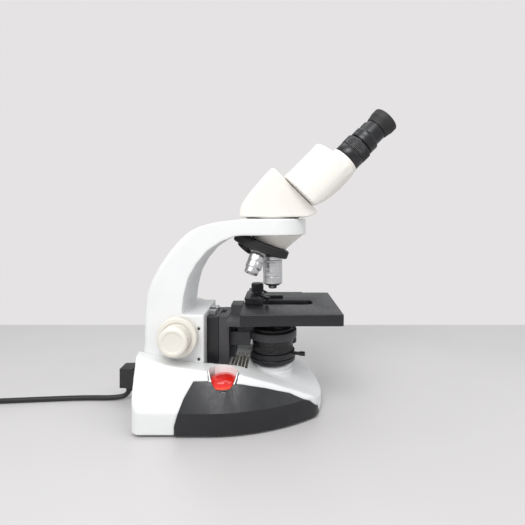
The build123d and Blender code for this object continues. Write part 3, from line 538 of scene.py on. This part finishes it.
# ---- condenser ----------------------------------------------------------------------
COND = [(17, 57), (30.4, 57), (31, 57.6), (31, 61.8), (30.4, 62.5), (27.2, 63.0), (27.0, 63.4),
        (27.0, 70.0), (27.9, 70.4), (28.0, 70.9)]
COND += [(28.0, 71.4 + 1.0 * k) for k in range(7)]
COND += [(27.4, 77.9), (27.2, 78.3), (27.2, 80.2), (27.6, 80.5), (28.0, 80.9), (28.0, 98.8),
         (27.6, 99.2), (27.6, 99.9), (28.0, 100.3), (28.0, 101.4), (26.4, 103), (24, 103.3),
         (16, 110), (13.5, 112), (13.4, 121.9), (12.8, 122.4), (9.6, 122.4), (9.5, 118),
         (9.5, 108), (17, 96)]
lathe("condenser", COND, "black_anodised", "condenser", ("condenser_body",), 288, upright(),
      [(71.3, 77.5, 72, 0.7)])

# ---- stage controls -----------------------------------------------------------------
KNOB_LOW = [(3.1, 60.0), (11.0, 60.0), (11.8, 60.6), (12, 61.2)] + [(12, 62 + 1.5 * k) for k in range(13)]
KNOB_LOW += [(11.8, 81.4), (11.0, 82), (3.0, 82), (3.0, 129.9), (0.01, 129.9)]
lathe("hanging_low", KNOB_LOW, "black_plastic", "left_right_drive", ("lr_knob",), 240,
      upright(*HANGING), [(61.9, 80.2, 40, 0.6)])
KNOB_TOP = [(3.1, 85.0), (13.2, 85.0), (13.9, 85.6), (14, 86.2)] + [(14, 87 + 1.3 * k) for k in range(12)]
KNOB_TOP += [(13.8, 103.2), (13, 104), (5.0, 104), (5.0, 113.0)]
lathe("hanging_top", KNOB_TOP, "black_plastic", "front_back_drive", (), 240, upright(*HANGING),
      [(86.9, 101.5, 46, 0.6)], closed=False)
crisp("fb_knob", 0.15, above=112.5)
THUMB = [(0.01, 143.2), (6.0, 143.3), (6.1, 144.5), (8.1, 144.8), (8.6, 145.2)]
THUMB += [(8.7, 145.8 + 0.9 * k) for k in range(11)]
THUMB += [(8.6, 155.6), (7.8, 157.2), (5.0, 157.35), (0.01, 157.35)]
crisp("slide_clip", 0.25, below=145.3)
lathe("thumb_knob", THUMB, "black_plastic", "specimen_clip", (), 200, upright(*CLIP_PIVOT),
      [(145.7, 154.9, 30, 0.55)])

# ---- dimmer -------------------------------------------------------------------------
DOME = [(14.2, 49.4), (16.3, 49.4), (16.5, 49.7), (16.5, 52.4), (16.3, 53.4), (15.7, 55.6),
        (14.6, 57.4), (12.6, 58.9), (9.8, 60.0), (6.0, 60.6), (0.01, 60.75)]
# the dome's red_knob material paints a glow in place of real inner light, brighter at the foot
lathe("dimmer_dome", rounded(DOME, 0.5), "red_knob", "dimmer", ("dimmer_knob",), 96,
      upright(*DIMMER), closed=False)

# ---- mains lead ---------------------------------------------------------------------
H = 3.35                        # centre of the lead above the table
PITCH = 6.55                    # one turn of the coil to the next
COIL = (-430.0, -56.0)
COIL_R = 41.4                   # outer turn
LAYER = (0, 0, 1, 1, 2, 2)      # height and column of each turn as it is wound
COLUMN = (0, 1, 1, 0, 0, 1)
PER = 16                        # points a turn
route = [(-197, 0, 20), (-197.4, -0.5, H + 3), (-217, -3.5, H), (-256, -2.5, H),
         (-306, -6.5, H), (-354, -11, H), (COIL[0] + 26, -15.5, H)]
for k in range(len(LAYER) * PER - 2):
    t = k / PER
    now = int(t)
    following = min(now + 1, len(LAYER) - 1)
    mix = max(0.0, (t - now - 0.75) / 0.25)
    r = COIL_R - PITCH * (COLUMN[now] + (COLUMN[following] - COLUMN[now]) * mix)
    z = H + PITCH * (LAYER[now] + (LAYER[following] - LAYER[now]) * mix)
    a = pi / 2 + 2 * pi * t
    route.append((COIL[0] + r * cos(a), COIL[1] + r * sin(a), z))
for x, y, z in ((31.9, 12.5, 17.6), (26.8, 20.8, 20.4), (18.6, 26.2, 25.2), (9.5, 28.0, 29.6),
                (0.5, 28.0, 31.7), (-6.0, 28.0, 32.0)):
    route.append((COIL[0] + x, COIL[1] + y, z))


def curve(name, points, radius, mat, body):
    data = bpy.data.curves.new(name, "CURVE")
    data.dimensions = "3D"
    sp = data.splines.new("NURBS")
    sp.points.add(len(points) - 1)
    for p, (x, y, z) in zip(sp.points, points):
        p.co = (x * MM + OX, y * MM, z * MM, 1.0)
    sp.order_u = 3
    sp.use_endpoint_u = True
    data.bevel_depth = radius * MM
    data.bevel_resolution = 5
    data.resolution_u = 10
    data.use_fill_caps = True
    data.materials.append(M[mat])
    ob = bpy.data.objects.new(name, data)
    bpy.context.scene.collection.objects.link(ob)
    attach(ob, body)
    return ob


lead = curve("mains_lead", route, 3.25, "cord_black", "stand")
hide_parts("power_cord", "cord_coil")

# ---- light, floor and camera --------------------------------------------------------
lamp = surface("lamp_glow", (1.0, 0.95, 0.85), 0.3, emission=(1.0, 0.93, 0.8), emission_strength=6.0)
NODES["lamp_bulb"].data.materials.clear()
NODES["lamp_bulb"].data.materials.append(lamp)

TABLE_BACK = 0.37


def make_floor():
    """A pale table top that ends a little way behind the object."""
    bm = bmesh.new()
    for x, y in ((-3, -4), (3, -4), (3, TABLE_BACK), (-3, TABLE_BACK)):
        bm.verts.new((x, y, 0))
    bm.faces.new(bm.verts)
    mesh = bpy.data.meshes.new("floor")
    bm.to_mesh(mesh)
    bm.free()
    mesh.materials.append(surface("table_top", (0.62, 0.605, 0.60), 0.38, vary=0.02, scale=4, grain=160,
                                  grain_depth=0.0002, grain_strength=0.06))
    ob = bpy.data.objects.new("floor", mesh)
    bpy.context.scene.collection.objects.link(ob)


make_floor()


def make_world():
    """Even studio light; the camera sees a slightly brighter pale wall."""
    world = bpy.data.worlds.new("studio")
    bpy.context.scene.world = world
    world.use_nodes = True
    tree = world.node_tree
    out = tree.nodes["World Output"]
    soft = tree.nodes["Background"]
    soft.inputs["Color"].default_value = (0.96, 0.97, 1.0, 1.0)
    soft.inputs["Strength"].default_value = 0.62
    wall = tree.nodes.new("ShaderNodeBackground")
    wall.inputs["Color"].default_value = (0.80, 0.785, 0.785, 1.0)
    wall.inputs["Strength"].default_value = 0.98
    path = tree.nodes.new("ShaderNodeLightPath")
    mix = tree.nodes.new("ShaderNodeMixShader")
    tree.links.new(path.outputs["Is Camera Ray"], mix.inputs["Fac"])
    tree.links.new(soft.outputs["Background"], mix.inputs[1])
    tree.links.new(wall.outputs["Background"], mix.inputs[2])
    tree.links.new(mix.outputs["Shader"], out.inputs["Surface"])


make_world()


def area(name, at, towards, size, power, colour=(1, 1, 1)):
    data = bpy.data.lights.new(name, "AREA")
    data.shape = "RECTANGLE"
    data.size, data.size_y = size
    data.energy = power
    data.color = colour
    ob = bpy.data.objects.new(name, data)
    bpy.context.scene.collection.objects.link(ob)
    ob.location = at
    ob.rotation_euler = (Vector(towards) - Vector(at)).to_track_quat("-Z", "Y").to_euler()
    return ob


area("key", (-0.7, -1.1, 1.3), (0, 0, 0.2), (1.0, 0.8), 7.5)
area("fill", (1.2, -0.6, 1.0), (0, 0, 0.2), (0.9, 0.9), 3.5)
area("head_light", (-0.1, -0.75, 0.95), (0.10, 0, 0.33), (0.5, 0.4), 5.0)
area("top", (0.1, 0.2, 1.5), (0, 0, 0.1), (1.2, 0.9), 5)

cam_data = bpy.data.cameras.new("camera")
cam_data.sensor_width = 36.0
cam_data.lens = 25.7142857
cam_data.shift_x = -0.0257143
cam_data.shift_y = -0.0790476
cam = bpy.data.objects.new("camera", cam_data)
bpy.context.scene.collection.objects.link(cam)
cam.location = (4.6 * MM + OX, -0.518, 0.246)
cam.rotation_euler = (pi / 2, 0, 0)
bpy.context.scene.camera = cam
bpy.context.scene.view_settings.view_transform = "Standard"
